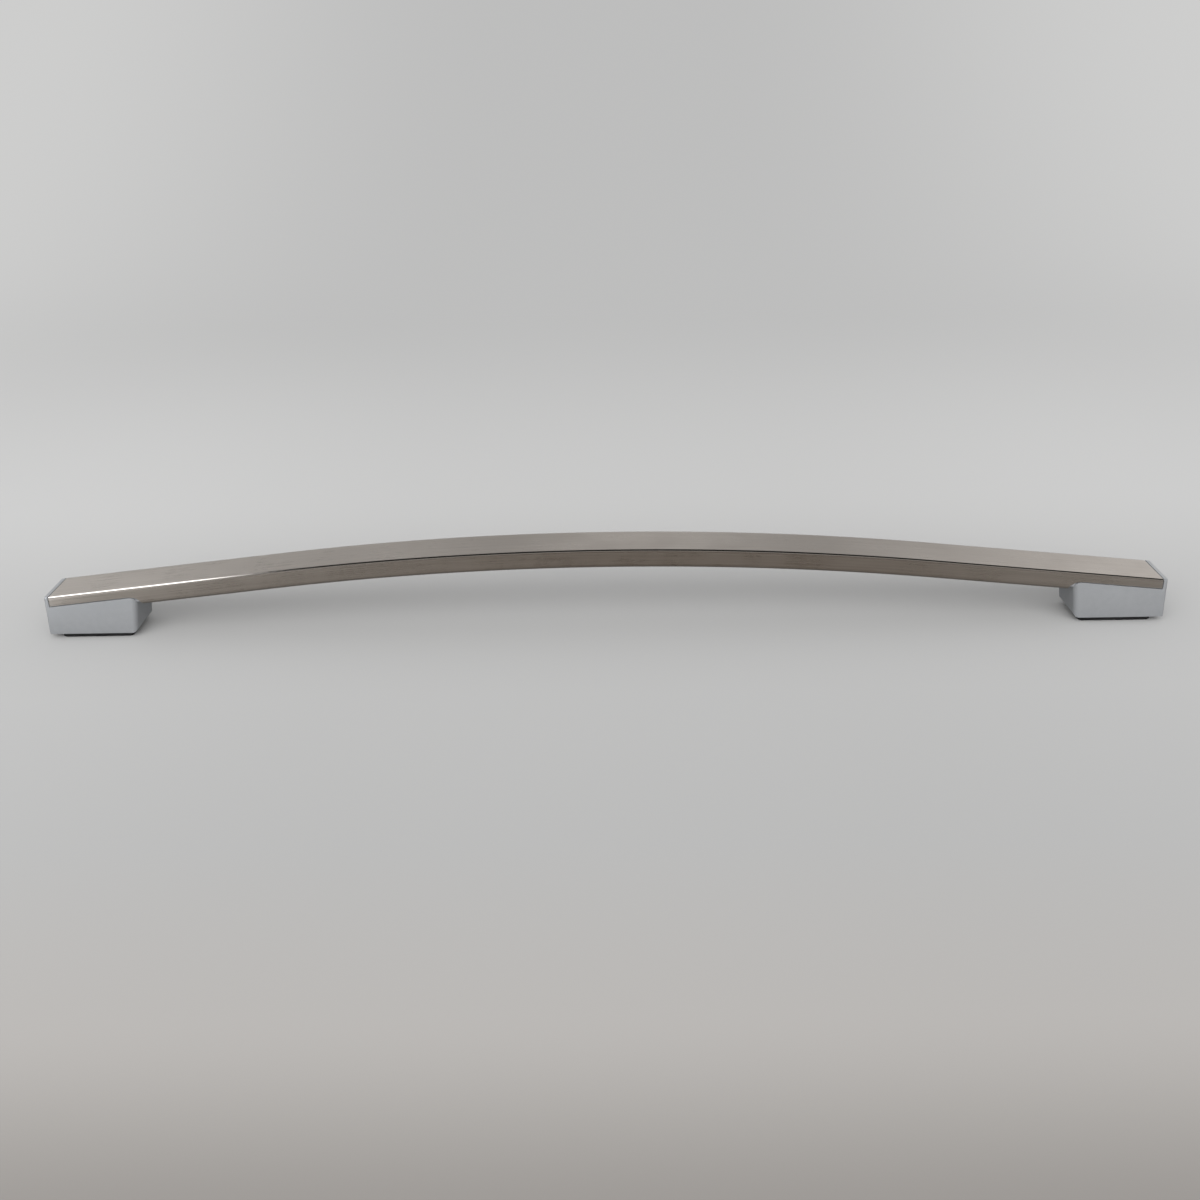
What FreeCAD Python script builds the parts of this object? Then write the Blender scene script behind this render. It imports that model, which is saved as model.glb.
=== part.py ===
import FreeCAD, Part
import math
import os

from FreeCAD import Placement, Rotation, Vector

# Oven door handle: an arched stainless bar on two die-cast end supports.
# Millimetres. X runs along the handle, Z points away from the oven door, and -Y is the front.
# The origin is on the door plane, half way between the supports.

# Overall form
overall_length = 724.8
crown_height = 56.5
arc_radius = 2028.0
arc_half_span = 213.4

# Bar
bar_width = 32.5
bar_depth = 12.6
bar_wall = 1.0
bar_face_edge_radius = 1.5
bar_rear_edge_radius = 3.0
flange_depth = 6.4
notch_radius = 8.0

# End supports
foot_length = 57.6
foot_lean = 8.8
end_draft = 2.5
foot_inner_radius = 3.2
foot_outer_radius = 1.6
foot_shoulder_radius = 4.0
foot_heel_radius = 3.0
lip_thickness = 2.5
seam_gap = 0.6
lip_gap = 0.5
foot_wall = 3.4
roof_thickness = 3.0
rib_thickness = 2.5
core_radius = 2.5

# Tongue inside the bar
tongue_clearance = 0.3
tongue_reach = 14.0
tongue_lead = 1.5

# Door pads
pad_stand_off = 3.5
pad_recess = 2.0
pad_rim = 2.2
pad_inner_rim = 3.6
pad_outer_rim = 7.0
pad_corner_radius = 3.0
pad_fit = 0.1
pad_edge = 0.6
pad_hole_radius = 3.3

# Door fixing
door_screw_spacing = 28.0
insert_radius = 3.5
insert_bore_radius = 2.1
insert_length = 10.0
insert_band = 3.5
insert_groove = 0.4
insert_fit = 0.05
insert_pilot_depth = 1.0
boss_radius = 5.5

# Bar fixing
nut_plate_length = 20.0
nut_plate_side_gap = 2.25
nut_plate_thickness = 3.0
nut_plate_corner_radius = 2.0
bar_screw_spacing = 15.0
screw_radius = 2.0
screw_length = 8.0
screw_head_radius = 4.0
screw_head_height = 2.6
screw_head_crown = 0.6
screw_slot_width = 0.9
screw_slot_length = 4.4
screw_slot_depth = 1.4
thread_fit = 0.05
screw_hole_radius = 2.3
washer_radius = 3.8
washer_thickness = 0.8
washer_split = 0.8
seat_radius = 4.8
seat_thickness = 4.6

# Spare material that a cutter or a blank has past the faces it cuts
margin = 10.0

# Values worked out from the driving dimensions
half_length = overall_length / 2
slope = math.degrees(math.asin(arc_half_span / arc_radius))
arc_centre_height = crown_height - arc_radius
straight_start = Vector(
    arc_half_span, 0, arc_centre_height + math.sqrt(arc_radius ** 2 - arc_half_span ** 2)
)
foot_bottom = pad_stand_off
pad_seat = foot_bottom + pad_recess
seam_depth = flange_depth + seam_gap
tongue_top_depth = bar_wall + nut_plate_thickness
tongue_bottom_depth = bar_depth - bar_wall - tongue_clearance
tongue_half_width = bar_width / 2 - bar_wall - tongue_clearance
tongue_edge_radius = bar_rear_edge_radius - bar_wall - tongue_clearance
nut_plate_half_width = bar_width / 2 - bar_wall - nut_plate_side_gap
roof_depth = seam_depth + roof_thickness
seat_depth = tongue_top_depth + seat_thickness


def top_height(x):
    """Height of the bar's broad face on the straight end, at a distance x from the middle."""
    return straight_start.z - (x - straight_start.x) * math.tan(math.radians(slope))


end_height = top_height(half_length)
base_outer = half_length + (end_height - foot_bottom) * math.tan(math.radians(end_draft))
base_inner = base_outer - foot_length
pad_inner = base_inner + pad_inner_rim
pad_outer = base_outer - pad_outer_rim
pad_centre = (pad_inner + pad_outer) / 2
door_screw_places = [pad_centre - door_screw_spacing / 2, pad_centre + door_screw_spacing / 2]


def outer_face_x(height):
    """Place of the support's outer face, which draws in towards the bar."""
    return base_outer - (height - foot_bottom) * math.tan(math.radians(end_draft))


def inner_face_x(height):
    """Place of the support's inner face, which leans towards the middle of the handle."""
    return base_inner - (height - foot_bottom) * math.tan(math.radians(foot_lean))


def rounded_wire(corners):
    """Closed wire through (point, radius) corners, each rounded by an arc of that radius."""
    ends = []
    edges = []
    count = len(corners)
    for index, (point, radius) in enumerate(corners):
        before = corners[index - 1][0] - point
        after = corners[(index + 1) % count][0] - point
        before.normalize()
        after.normalize()
        if radius <= 0:
            ends.append((point, point))
            continue
        half_angle = before.getAngle(after) / 2
        start = point + before * (radius / math.tan(half_angle))
        finish = point + after * (radius / math.tan(half_angle))
        inward = before + after
        inward.normalize()
        middle = point + inward * (radius / math.sin(half_angle) - radius)
        ends.append((start, finish))
        edges.append(Part.Arc(start, middle, finish).toShape())
    for index in range(count):
        start = ends[index][1]
        finish = ends[(index + 1) % count][0]
        edges.append(Part.makeLine(start, finish))
    return Part.Wire(Part.__sortEdges__(edges))


def plate(corners, direction):
    """Solid made by moving a rounded outline along a direction."""
    return Part.Face(rounded_wire(corners)).extrude(direction)


def plan_corners(x_low, x_high, half_width, height, low_radius, high_radius):
    """Corners of a rectangle seen from above, with one radius at each end."""
    return [
        (Vector(x_low, -half_width, height), low_radius),
        (Vector(x_high, -half_width, height), high_radius),
        (Vector(x_high, half_width, height), high_radius),
        (Vector(x_low, half_width, height), low_radius),
    ]


def section_corners(half_width, top, bottom, top_radius, bottom_radius):
    """Corners of a section across the bar, measured down from its broad face."""
    return [
        (Vector(0, -half_width, -top), top_radius),
        (Vector(0, half_width, -top), top_radius),
        (Vector(0, half_width, -bottom), bottom_radius),
        (Vector(0, -half_width, -bottom), bottom_radius),
    ]


def on_straight(shape):
    """Put a shape built from the start of the straight end, X along it, Z out of its face."""
    placed = shape.copy()
    placed.Placement = Placement(straight_start, Rotation(Vector(0, 1, 0), slope)).multiply(
        placed.Placement
    )
    return placed


def along_straight(x, depth):
    """Distance along the straight end of a point at x that lies at a depth under the face."""
    sine = math.sin(math.radians(slope))
    cosine = math.cos(math.radians(slope))
    return (x - straight_start.x + depth * sine) / cosine


def side_point(x, depth):
    """Point in the middle plane at x, at a depth under the bar's broad face."""
    drop = depth / math.cos(math.radians(slope))
    return Vector(x, 0, top_height(x) - drop)


def shoulder_point():
    """Sharp corner where the support's inner face meets its top under the bar."""
    top = side_point(base_inner, seam_depth)
    lean = math.tan(math.radians(foot_lean))
    fall = math.tan(math.radians(slope))
    rise = (top.z - foot_bottom) / (1 - lean * fall)
    return Vector(base_inner - rise * lean, 0, foot_bottom + rise)


def shoulder_run():
    """Distance from the shoulder's sharp corner to where its round meets the top."""
    corner_angle = 90 - slope - foot_lean
    return foot_shoulder_radius / math.tan(math.radians(corner_angle / 2))


screw_run = along_straight(pad_centre, seat_depth)
screw_sides = [-bar_screw_spacing / 2, bar_screw_spacing / 2]


def bar_section(inset):
    """Face across the bar at the crown, inset from the outer skin."""
    corners = section_corners(
        bar_width / 2 - inset,
        inset,
        bar_depth - inset,
        bar_face_edge_radius - inset,
        bar_rear_edge_radius - inset,
    )
    face = Part.Face(rounded_wire(corners))
    face.translate(Vector(0, 0, crown_height))
    return face


def bent_rod(section, straight_length):
    """Carry a section along the arc and the two straight ends."""
    centre = Vector(0, 0, arc_centre_height)
    across = Vector(0, 1, 0)
    start = section.copy()
    start.rotate(centre, across, -slope)
    finish = section.copy()
    finish.rotate(centre, across, slope)
    reach = math.radians(slope)
    right = finish.extrude(Vector(math.cos(reach), 0, -math.sin(reach)) * straight_length)
    left = start.extrude(Vector(-math.cos(reach), 0, -math.sin(reach)) * straight_length)
    return start.revolve(centre, across, 2 * slope).fuse([left, right])


def notch_cutter():
    """What is cut from the bar's rear over a support: a long step with a rounded inner end."""
    shoulder = shoulder_point()
    step_start = along_straight(shoulder.x + shoulder_run(), flange_depth)
    step_end = along_straight(half_length + margin, flange_depth)
    cut_depth = bar_depth + margin
    corners = [
        (Vector(step_start - notch_radius, 0, -cut_depth), 0),
        (Vector(step_start - notch_radius, 0, -flange_depth), notch_radius),
        (Vector(step_end, 0, -flange_depth), 0),
        (Vector(step_end, 0, -cut_depth), 0),
    ]
    cutter = plate(corners, Vector(0, bar_width + margin, 0))
    cutter.translate(Vector(0, -(bar_width + margin) / 2, 0))
    return on_straight(cutter)


def end_cutter():
    """What is cut off past the bar's end, along the inside of the support's lip."""
    face_x = outer_face_x(end_height) - lip_thickness - lip_gap
    box = Part.makeBox(base_outer, bar_width + margin, crown_height)
    box.translate(Vector(face_x, -(bar_width + margin) / 2, 0))
    return box


def handle_bar():
    """Formed tube: arched, notched over the supports and cut square to the door."""
    straight_length = along_straight(half_length + margin, 0)
    tube = bent_rod(bar_section(0), straight_length).cut(
        bent_rod(bar_section(bar_wall), straight_length)
    )
    for cutter in (notch_cutter(), end_cutter()):
        tube = tube.cut([cutter, left_copy(cutter)])
    return tube.removeSplitter()


def left_copy(shape):
    """The same shape at the other end of the handle."""
    return shape.mirror(Vector(0, 0, 0), Vector(1, 0, 0))


def drafted_block(inset, floor, inner_inset, outer_inset, inner_radius, outer_radius):
    """Block with the support's leaning ends, inset from its sides and from each end."""
    ceiling = crown_height
    wires = [
        rounded_wire(
            plan_corners(
                inner_face_x(height) + inner_inset,
                outer_face_x(height) - outer_inset,
                bar_width / 2 - inset,
                height,
                inner_radius,
                outer_radius,
            )
        )
        for height in (floor, ceiling)
    ]
    return Part.makeLoft(wires, True, True)


def foot_envelope():
    """Side view of the foot and its lip, as wide as the blank it is cut from."""
    lip_inner = outer_face_x(end_height) - lip_thickness
    shoulder = shoulder_point()
    corners = [
        (Vector(base_inner, 0, foot_bottom), foot_heel_radius),
        (Vector(base_outer + margin, 0, foot_bottom), 0),
        (side_point(base_outer + margin, 0), 0),
        (side_point(lip_inner, 0), 0),
        (side_point(lip_inner, seam_depth), 0),
        (shoulder, foot_shoulder_radius),
    ]
    solid = plate(corners, Vector(0, bar_width + margin, 0))
    solid.translate(Vector(0, -(bar_width + margin) / 2, 0))
    return solid


def lip_edge_limit():
    """Long block with the bar's rounded face edges, which the lip carries on."""
    start = along_straight(base_inner - margin, 0) - margin
    finish = along_straight(base_outer + margin, 0)
    corners = section_corners(
        bar_width / 2, 0, crown_height + margin, bar_face_edge_radius, 0
    )
    solid = plate(corners, Vector(finish - start, 0, 0))
    solid.translate(Vector(start, 0, 0))
    return on_straight(solid)


def tongue():
    """Tongue on top of the foot, which enters the bar and carries it."""
    start = along_straight(shoulder_point().x, 0) - tongue_reach
    finish = along_straight(outer_face_x(end_height) - lip_thickness / 2, seam_depth)
    corners = section_corners(
        tongue_half_width, tongue_top_depth, tongue_bottom_depth, 0, tongue_edge_radius
    )
    solid = plate(corners, Vector(finish - start, 0, 0))
    solid.translate(Vector(start, 0, 0))
    tip = [edge for edge in solid.Edges if edge.BoundBox.XMax < start + tongue_lead]
    straight_tip = [edge for edge in tip if isinstance(edge.Curve, Part.Line)]
    upright = [edge for edge in straight_tip if edge.BoundBox.ZLength > edge.BoundBox.YLength]
    return on_straight(solid.makeChamfer(tongue_lead, upright))


def under_roof():
    """Space below the foot's roof, which runs level with the bar."""
    start = along_straight(base_inner - margin, 0) - margin
    finish = along_straight(base_outer + margin, 0)
    box = Part.makeBox(finish - start, bar_width, crown_height + margin)
    box.translate(Vector(start, -bar_width / 2, -roof_depth - crown_height - margin))
    return on_straight(box)


def upright_cylinder(x, radius, low, high):
    """Round bar square to the door plane."""
    return Part.makeCylinder(radius, high - low, Vector(x, 0, low))


def ribs():
    """Web along the middle of the hollow, and one across it at each insert boss."""
    length = base_outer - base_inner
    along = Part.makeBox(length, rib_thickness, crown_height)
    along.translate(Vector(base_inner, -rib_thickness / 2, pad_seat))
    webs = [along]
    for x in door_screw_places:
        across = Part.makeBox(rib_thickness, bar_width, crown_height)
        across.translate(Vector(x - rib_thickness / 2, -bar_width / 2, pad_seat))
        webs.append(across)
    return webs


def foot_hollow():
    """Hollow in the foot's underside, less the bosses and ribs that stand in it."""
    inner_wall = pad_inner_rim + foot_wall - pad_rim
    outer_wall = pad_outer_rim + foot_wall - pad_rim
    core = drafted_block(foot_wall, pad_seat, inner_wall, outer_wall, core_radius, core_radius)
    core = core.common(under_roof())
    bosses = [
        upright_cylinder(x, boss_radius, pad_seat, crown_height) for x in door_screw_places
    ]
    return core.cut(bosses + ribs())


def pad_pocket():
    """Shallow recess in the foot's underside that locates the pad."""
    corners = plan_corners(
        pad_inner,
        pad_outer,
        bar_width / 2 - pad_rim,
        foot_bottom,
        pad_corner_radius,
        pad_corner_radius,
    )
    return plate(corners, Vector(0, 0, pad_recess))


def screw_cylinder(side, radius, low_depth, high_depth):
    """Round bar square to the bar's face, at one bar screw, between two depths."""
    base = Vector(screw_run, side, -low_depth)
    return on_straight(Part.makeCylinder(radius, low_depth - high_depth, base))


def end_support():
    """Die casting: foot, lip and tongue, hollowed from below."""
    blank = drafted_block(0, foot_bottom, 0, 0, foot_inner_radius, foot_outer_radius)
    casting = blank.common(foot_envelope()).common(lip_edge_limit()).fuse(tongue())
    cuts = [foot_hollow(), pad_pocket()]
    for side in screw_sides:
        cuts.append(screw_cylinder(side, screw_hole_radius, roof_depth, bar_wall))
        cuts.append(screw_cylinder(side, seat_radius, roof_depth + seat_radius, seat_depth))
    pilot = pad_seat + insert_length + insert_pilot_depth
    for x in door_screw_places:
        cuts.append(upright_cylinder(x, insert_radius + insert_fit, pad_seat, pilot))
    return casting.cut(cuts).removeSplitter()


def nut_plate():
    """Tapped plate under the bar's broad wall."""
    corners = plan_corners(
        screw_run - nut_plate_length / 2,
        screw_run + nut_plate_length / 2,
        nut_plate_half_width,
        -tongue_top_depth,
        nut_plate_corner_radius,
        nut_plate_corner_radius,
    )
    blank = on_straight(plate(corners, Vector(0, 0, nut_plate_thickness)))
    holes = [
        screw_cylinder(side, screw_radius + thread_fit, tongue_top_depth, bar_wall)
        for side in screw_sides
    ]
    return blank.cut(holes)


def bar_screw(side):
    """Pan head screw with a crossed slot, head down in the foot's hollow."""
    underside = -(seat_depth + washer_thickness)
    head_bottom = underside - screw_head_height
    outline = rounded_wire(
        [
            (Vector(0, 0, head_bottom), 0),
            (Vector(screw_head_radius, 0, head_bottom), screw_head_crown),
            (Vector(screw_head_radius, 0, underside), 0),
            (Vector(screw_radius, 0, underside), 0),
            (Vector(screw_radius, 0, underside + screw_length), 0),
            (Vector(0, 0, underside + screw_length), 0),
        ]
    )
    screw = Part.Face(outline).revolve(Vector(0, 0, 0), Vector(0, 0, 1), 360)
    slot = Part.makeBox(screw_slot_length, screw_slot_width, screw_slot_depth)
    slot.translate(Vector(-screw_slot_length / 2, -screw_slot_width / 2, head_bottom))
    crossed = slot.copy()
    crossed.rotate(Vector(0, 0, 0), Vector(0, 0, 1), 90)
    screw = screw.cut([slot, crossed])
    screw.translate(Vector(screw_run, side, 0))
    return on_straight(screw)


def lock_washer(side):
    """Split ring under a bar screw's head."""
    low = seat_depth + washer_thickness
    ring = screw_cylinder(side, washer_radius, low, seat_depth)
    hole = screw_cylinder(side, screw_hole_radius, low, seat_depth)
    split = Part.makeBox(washer_split, washer_radius, washer_thickness)
    split.translate(Vector(screw_run - washer_split / 2, side, -low))
    return ring.cut([hole, on_straight(split)])


def thread_insert(x):
    """Threaded bush in a boss of the foot: two plain bands and a groove between them."""
    top = pad_seat + insert_length
    bush = upright_cylinder(x, insert_radius, pad_seat, top)
    groove_low = pad_seat + insert_band
    groove_high = top - insert_band
    ring = upright_cylinder(x, insert_radius + insert_fit, groove_low, groove_high)
    waist = upright_cylinder(x, insert_radius - insert_groove, groove_low, groove_high)
    bore = upright_cylinder(x, insert_bore_radius, pad_seat, top)
    return bush.cut([ring.cut(waist), bore])


def door_pad():
    """Rubber pad let into the foot, with a hole for each screw that comes from the door."""
    corners = plan_corners(
        pad_inner + pad_fit,
        pad_outer - pad_fit,
        bar_width / 2 - pad_rim - pad_fit,
        0,
        pad_corner_radius - pad_fit,
        pad_corner_radius - pad_fit,
    )
    pad = plate(corners, Vector(0, 0, pad_seat))
    rim = [edge for edge in pad.Edges if edge.BoundBox.ZMax < pad_edge]
    pad = pad.makeChamfer(pad_edge, rim)
    holes = [upright_cylinder(x, pad_hole_radius, 0, pad_seat) for x in door_screw_places]
    return pad.cut(holes)


def right_end_nodes():
    """The nodes at the right end of the handle, each as one shape."""
    return {
        "end_support": end_support(),
        "nut_plate": nut_plate(),
        "bar_screws": Part.Compound([bar_screw(side) for side in screw_sides]),
        "lock_washers": Part.Compound([lock_washer(side) for side in screw_sides]),
        "thread_inserts": Part.Compound([thread_insert(x) for x in door_screw_places]),
        "door_pad": door_pad(),
    }


def all_nodes():
    """Every node of the handle by name."""
    nodes = {"handle_bar": handle_bar()}
    for name, shape in right_end_nodes().items():
        nodes[name + "_right"] = shape
        nodes[name + "_left"] = left_copy(shape)
    return nodes


def main():
    """Write one STEP file for each node."""
    os.makedirs("parts", exist_ok=True)
    for name, shape in all_nodes().items():
        if not shape.isValid():
            raise RuntimeError(f"{name} is not a valid shape")
        shape.exportStep(os.path.join("parts", name + ".step"))
        print(f"{name}: {len(shape.Solids)} solid(s), {shape.Volume:.1f} mm3")


main()
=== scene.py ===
# Arched oven door handle: the dressed model and its studio.
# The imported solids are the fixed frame. Lengths are metres, X runs along the handle, Z points
# away from the oven door, and -Y is the front.

import logging
import math
from dataclasses import dataclass
from enum import Enum

import bmesh
import bpy
import numpy as np
from bpy.types import (ID, BevelModifier, Material, Mesh, Node, NodeSocket, NodeTree,
                       Object)
from mathutils import Matrix


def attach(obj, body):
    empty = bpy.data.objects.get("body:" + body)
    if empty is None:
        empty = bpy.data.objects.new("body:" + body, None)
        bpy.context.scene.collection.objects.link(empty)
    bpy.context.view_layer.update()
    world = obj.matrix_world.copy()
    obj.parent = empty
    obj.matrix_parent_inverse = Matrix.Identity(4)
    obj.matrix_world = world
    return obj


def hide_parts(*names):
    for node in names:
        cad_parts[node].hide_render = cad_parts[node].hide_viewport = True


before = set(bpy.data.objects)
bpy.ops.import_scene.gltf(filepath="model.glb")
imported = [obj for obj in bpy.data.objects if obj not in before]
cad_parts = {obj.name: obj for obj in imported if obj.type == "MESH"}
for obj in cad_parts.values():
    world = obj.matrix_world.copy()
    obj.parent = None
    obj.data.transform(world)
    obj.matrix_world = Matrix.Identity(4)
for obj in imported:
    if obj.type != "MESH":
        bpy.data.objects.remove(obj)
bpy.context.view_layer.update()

LOG = logging.getLogger("oven_door_handle")
BODY = "root"
BAR_PLACE = "bar_place"
BRUSH_DIRECTION = "brush_direction"
MERGE_DISTANCE = 2e-6
COLLAPSE_LENGTH = 1e-6

Colour = tuple[float, float, float]
Change = tuple[float, ...]  # start and end of a range, and the results there if not 0 and 1


class End(Enum):
    """The two ends of the handle."""

    LEFT = "left"
    RIGHT = "right"

    def node(self, base: str) -> str:
        """Name of a solid at this end."""
        return f"{base}_{self.value}"


class Slot(Enum):
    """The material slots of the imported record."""

    STAINLESS = "brushed_stainless"
    SILVER = "satin_silver"


# Node trees


class NodeSheet:
    """A node tree with short calls to add nodes and join their sockets."""

    def __init__(self, tree: NodeTree) -> None:
        """Take the tree of a material, a world or a group."""
        self.tree = tree

    def add(self, kind: str, **settings: object) -> Node:
        """Add a node of this type, with these properties set."""
        node = self.tree.nodes.new(kind)
        for name, value in settings.items():
            setattr(node, name, value)
        return node

    def join(self, source: NodeSocket, target: NodeSocket) -> None:
        """Link an output socket to an input socket."""
        self.tree.links.new(source, target)

    def feed(self, socket: NodeSocket, value: object) -> None:
        """Give an input a link from an output socket, or a number, colour or vector."""
        if isinstance(value, NodeSocket):
            self.join(value, socket)
        elif isinstance(value, tuple) and socket.type == "RGBA":
            socket.default_value = (*value, 1.0)
        else:
            socket.default_value = value

    def math(self, operation: str, *inputs: object, clamp: bool = False) -> NodeSocket:
        """Work out a number from others; clamp keeps the result between 0 and 1."""
        node = self.add("ShaderNodeMath", operation=operation, use_clamp=clamp)
        for socket, value in zip(node.inputs, inputs):
            self.feed(socket, value)
        return node.outputs[0]

    def product(self, first: NodeSocket, second: object) -> NodeSocket:
        """Multiply two vectors axis by axis."""
        node = self.add("ShaderNodeVectorMath", operation="MULTIPLY")
        self.feed(node.inputs[0], first)
        self.feed(node.inputs[1], second)
        return node.outputs[0]

    def axes(self, vector: NodeSocket) -> list[NodeSocket]:
        """Split a vector into its X, Y and Z."""
        node = self.add("ShaderNodeSeparateXYZ")
        self.join(vector, node.inputs[0])
        return list(node.outputs)

    def vector(self, *parts: NodeSocket) -> NodeSocket:
        """Join X, Y and Z into a vector."""
        node = self.add("ShaderNodeCombineXYZ")
        for source, socket in zip(parts, node.inputs):
            self.join(source, socket)
        return node.outputs[0]

    def noise(self, vector: NodeSocket, scale: object, detail: float,
              roughness: float) -> NodeSocket:
        """Add a Noise Texture.

        Args:
            vector: where it is read.
            scale: cycles in one unit of that vector.
            detail: number of finer layers.
            roughness: their strength.
        """
        node = self.add("ShaderNodeTexNoise")
        for name, value in zip(("Vector", "Scale", "Detail", "Roughness"),
                               (vector, scale, detail, roughness)):
            self.feed(node.inputs[name], value)
        return node.outputs["Fac"]

    def span(self, value: object, low: object, high: object, to_low: object = 0.0,
             to_high: object = 1.0, smooth: bool = False) -> NodeSocket:
        """Carry a value from one range to another, and stop it at the ends.

        Args:
            value: what is carried.
            low, high: start and end of its range.
            to_low, to_high: result at the start and at the end.
            smooth: whether the change is eased at both ends.

        Returns:
            The result's socket.
        """
        kind = "SMOOTHSTEP" if smooth else "LINEAR"
        node = self.add("ShaderNodeMapRange", interpolation_type=kind, clamp=True)
        for name, given in zip(("Value", "From Min", "From Max", "To Min", "To Max"),
                               (value, low, high, to_low, to_high)):
            self.feed(node.inputs[name], given)
        return node.outputs["Result"]

    def blend(self, amount: object, first: object, second: object) -> NodeSocket:
        """Mix two colours: an amount of 0 gives the first and 1 the second."""
        node = self.add("ShaderNodeMix", data_type="RGBA", blend_type="MIX")
        colours = [socket for socket in node.inputs if socket.type == "RGBA"]
        self.feed(node.inputs["Factor"], amount)
        self.feed(colours[0], first)
        self.feed(colours[1], second)
        return [socket for socket in node.outputs if socket.type == "RGBA"][0]

    def coloured(self, kind: str, colour: NodeSocket) -> NodeSocket:
        """Add a shader of this type with this colour, and give its output."""
        node = self.add(kind)
        self.join(colour, node.inputs["Color"])
        return node.outputs[0]

    def choose(self, *inputs: NodeSocket) -> NodeSocket:
        """Mix two shaders: the amount of the second, the first and the second."""
        node = self.add("ShaderNodeMixShader")
        for source, socket in zip(inputs, node.inputs):
            self.join(source, socket)
        return node.outputs[0]


def open_material(name: str) -> tuple[Material, NodeSheet, NodeSocket]:
    """Make a material with only an output.

    Returns:
        The material, its sheet and the output's surface socket.
    """
    material = bpy.data.materials.new(name)
    material.use_nodes = True
    sheet = NodeSheet(material.node_tree)
    sheet.tree.nodes.clear()
    return material, sheet, sheet.add("ShaderNodeOutputMaterial").inputs["Surface"]


@dataclass(frozen=True)
class SharedEffect:
    """A surface effect that several finishes use, kept as one node group."""

    name: str
    vectors: tuple[str, ...]
    numbers: tuple[str, ...]
    results: tuple[str, ...]

    def open_group(self) -> tuple[NodeSheet, Node, Node]:
        """Make the empty group: its sheet, its input node and its output node."""
        tree = bpy.data.node_groups.new(self.name, "ShaderNodeTree")
        for labels, way, kind in ((self.vectors, "INPUT", "NodeSocketVector"),
                                  (self.numbers, "INPUT", "NodeSocketFloat"),
                                  (self.results, "OUTPUT", "NodeSocketFloat")):
            for label in labels:
                tree.interface.new_socket(label, in_out=way, socket_type=kind)
        sheet = NodeSheet(tree)
        return sheet, sheet.add("NodeGroupInput"), sheet.add("NodeGroupOutput")

    def place(self, sheet: NodeSheet, **values: object) -> dict[str, NodeSocket]:
        """Put the group in a material.

        Args:
            sheet: the material's sheet.
            values: what its inputs get.

        Returns:
            Its results' sockets, by name.
        """
        node = sheet.add("ShaderNodeGroup", node_tree=bpy.data.node_groups[self.name])
        for label, value in values.items():
            sheet.feed(node.inputs[label], value)
        return {label: node.outputs[label] for label in self.results}


GRAIN = SharedEffect("lengthwise_grain", ("Place",), ("Along", "Across"), ("Streak", "Band"))
WEAR = SharedEffect("edge_wear", ("Place",), ("Pointiness",), ("Mask",))
DUST = SharedEffect("settled_dust", ("Place", "Facing"), ("Amount",), ("Mask",))
MOTTLE = SharedEffect("fine_mottle", ("Place",), ("Size",), ("Fine", "Broad"))


def build_shared_effects() -> None:
    """Build the node groups that the finishes share."""
    sheet, given, result = GRAIN.open_group()
    place, along, across = (given.outputs[label] for label in ("Place", "Along", "Across"))
    drawn = sheet.product(place, sheet.vector(along, across, across))
    sheet.join(sheet.noise(drawn, 1.0, 4.0, 0.65), result.inputs["Streak"])
    sheet.join(sheet.span(sheet.noise(drawn, 0.30, 3.0, 0.6), 0.34, 0.66), result.inputs["Band"])

    sheet, given, result = WEAR.open_group()
    sharp = sheet.span(given.outputs["Pointiness"], 0.5, 0.6, smooth=True)
    uneven = sheet.span(sheet.noise(given.outputs["Place"], 260.0, 3.0, 0.6), 0.35, 0.65, 0.25)
    sheet.join(sheet.math("MULTIPLY", sharp, uneven), result.inputs["Mask"])

    sheet, given, result = DUST.open_group()
    place = given.outputs["Place"]
    level = sheet.span(sheet.axes(given.outputs["Facing"])[2], 0.3, 0.95, smooth=True)
    specks = sheet.span(sheet.noise(place, 900.0, 2.0, 0.7), 0.56, 0.78)
    film = sheet.span(sheet.noise(place, 24.0, 3.0, 0.6), 0.3, 0.7, 0.2, 0.7)
    laid = sheet.math("MULTIPLY", level, sheet.math("MAXIMUM", specks, film))
    sheet.join(sheet.math("MULTIPLY", laid, given.outputs["Amount"]), result.inputs["Mask"])

    sheet, given, result = MOTTLE.open_group()
    place = given.outputs["Place"]
    sheet.join(sheet.noise(place, given.outputs["Size"], 3.0, 0.5), result.inputs["Fine"])
    sheet.join(sheet.noise(place, 38.0, 3.0, 0.55), result.inputs["Broad"])


# Finishes


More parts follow.
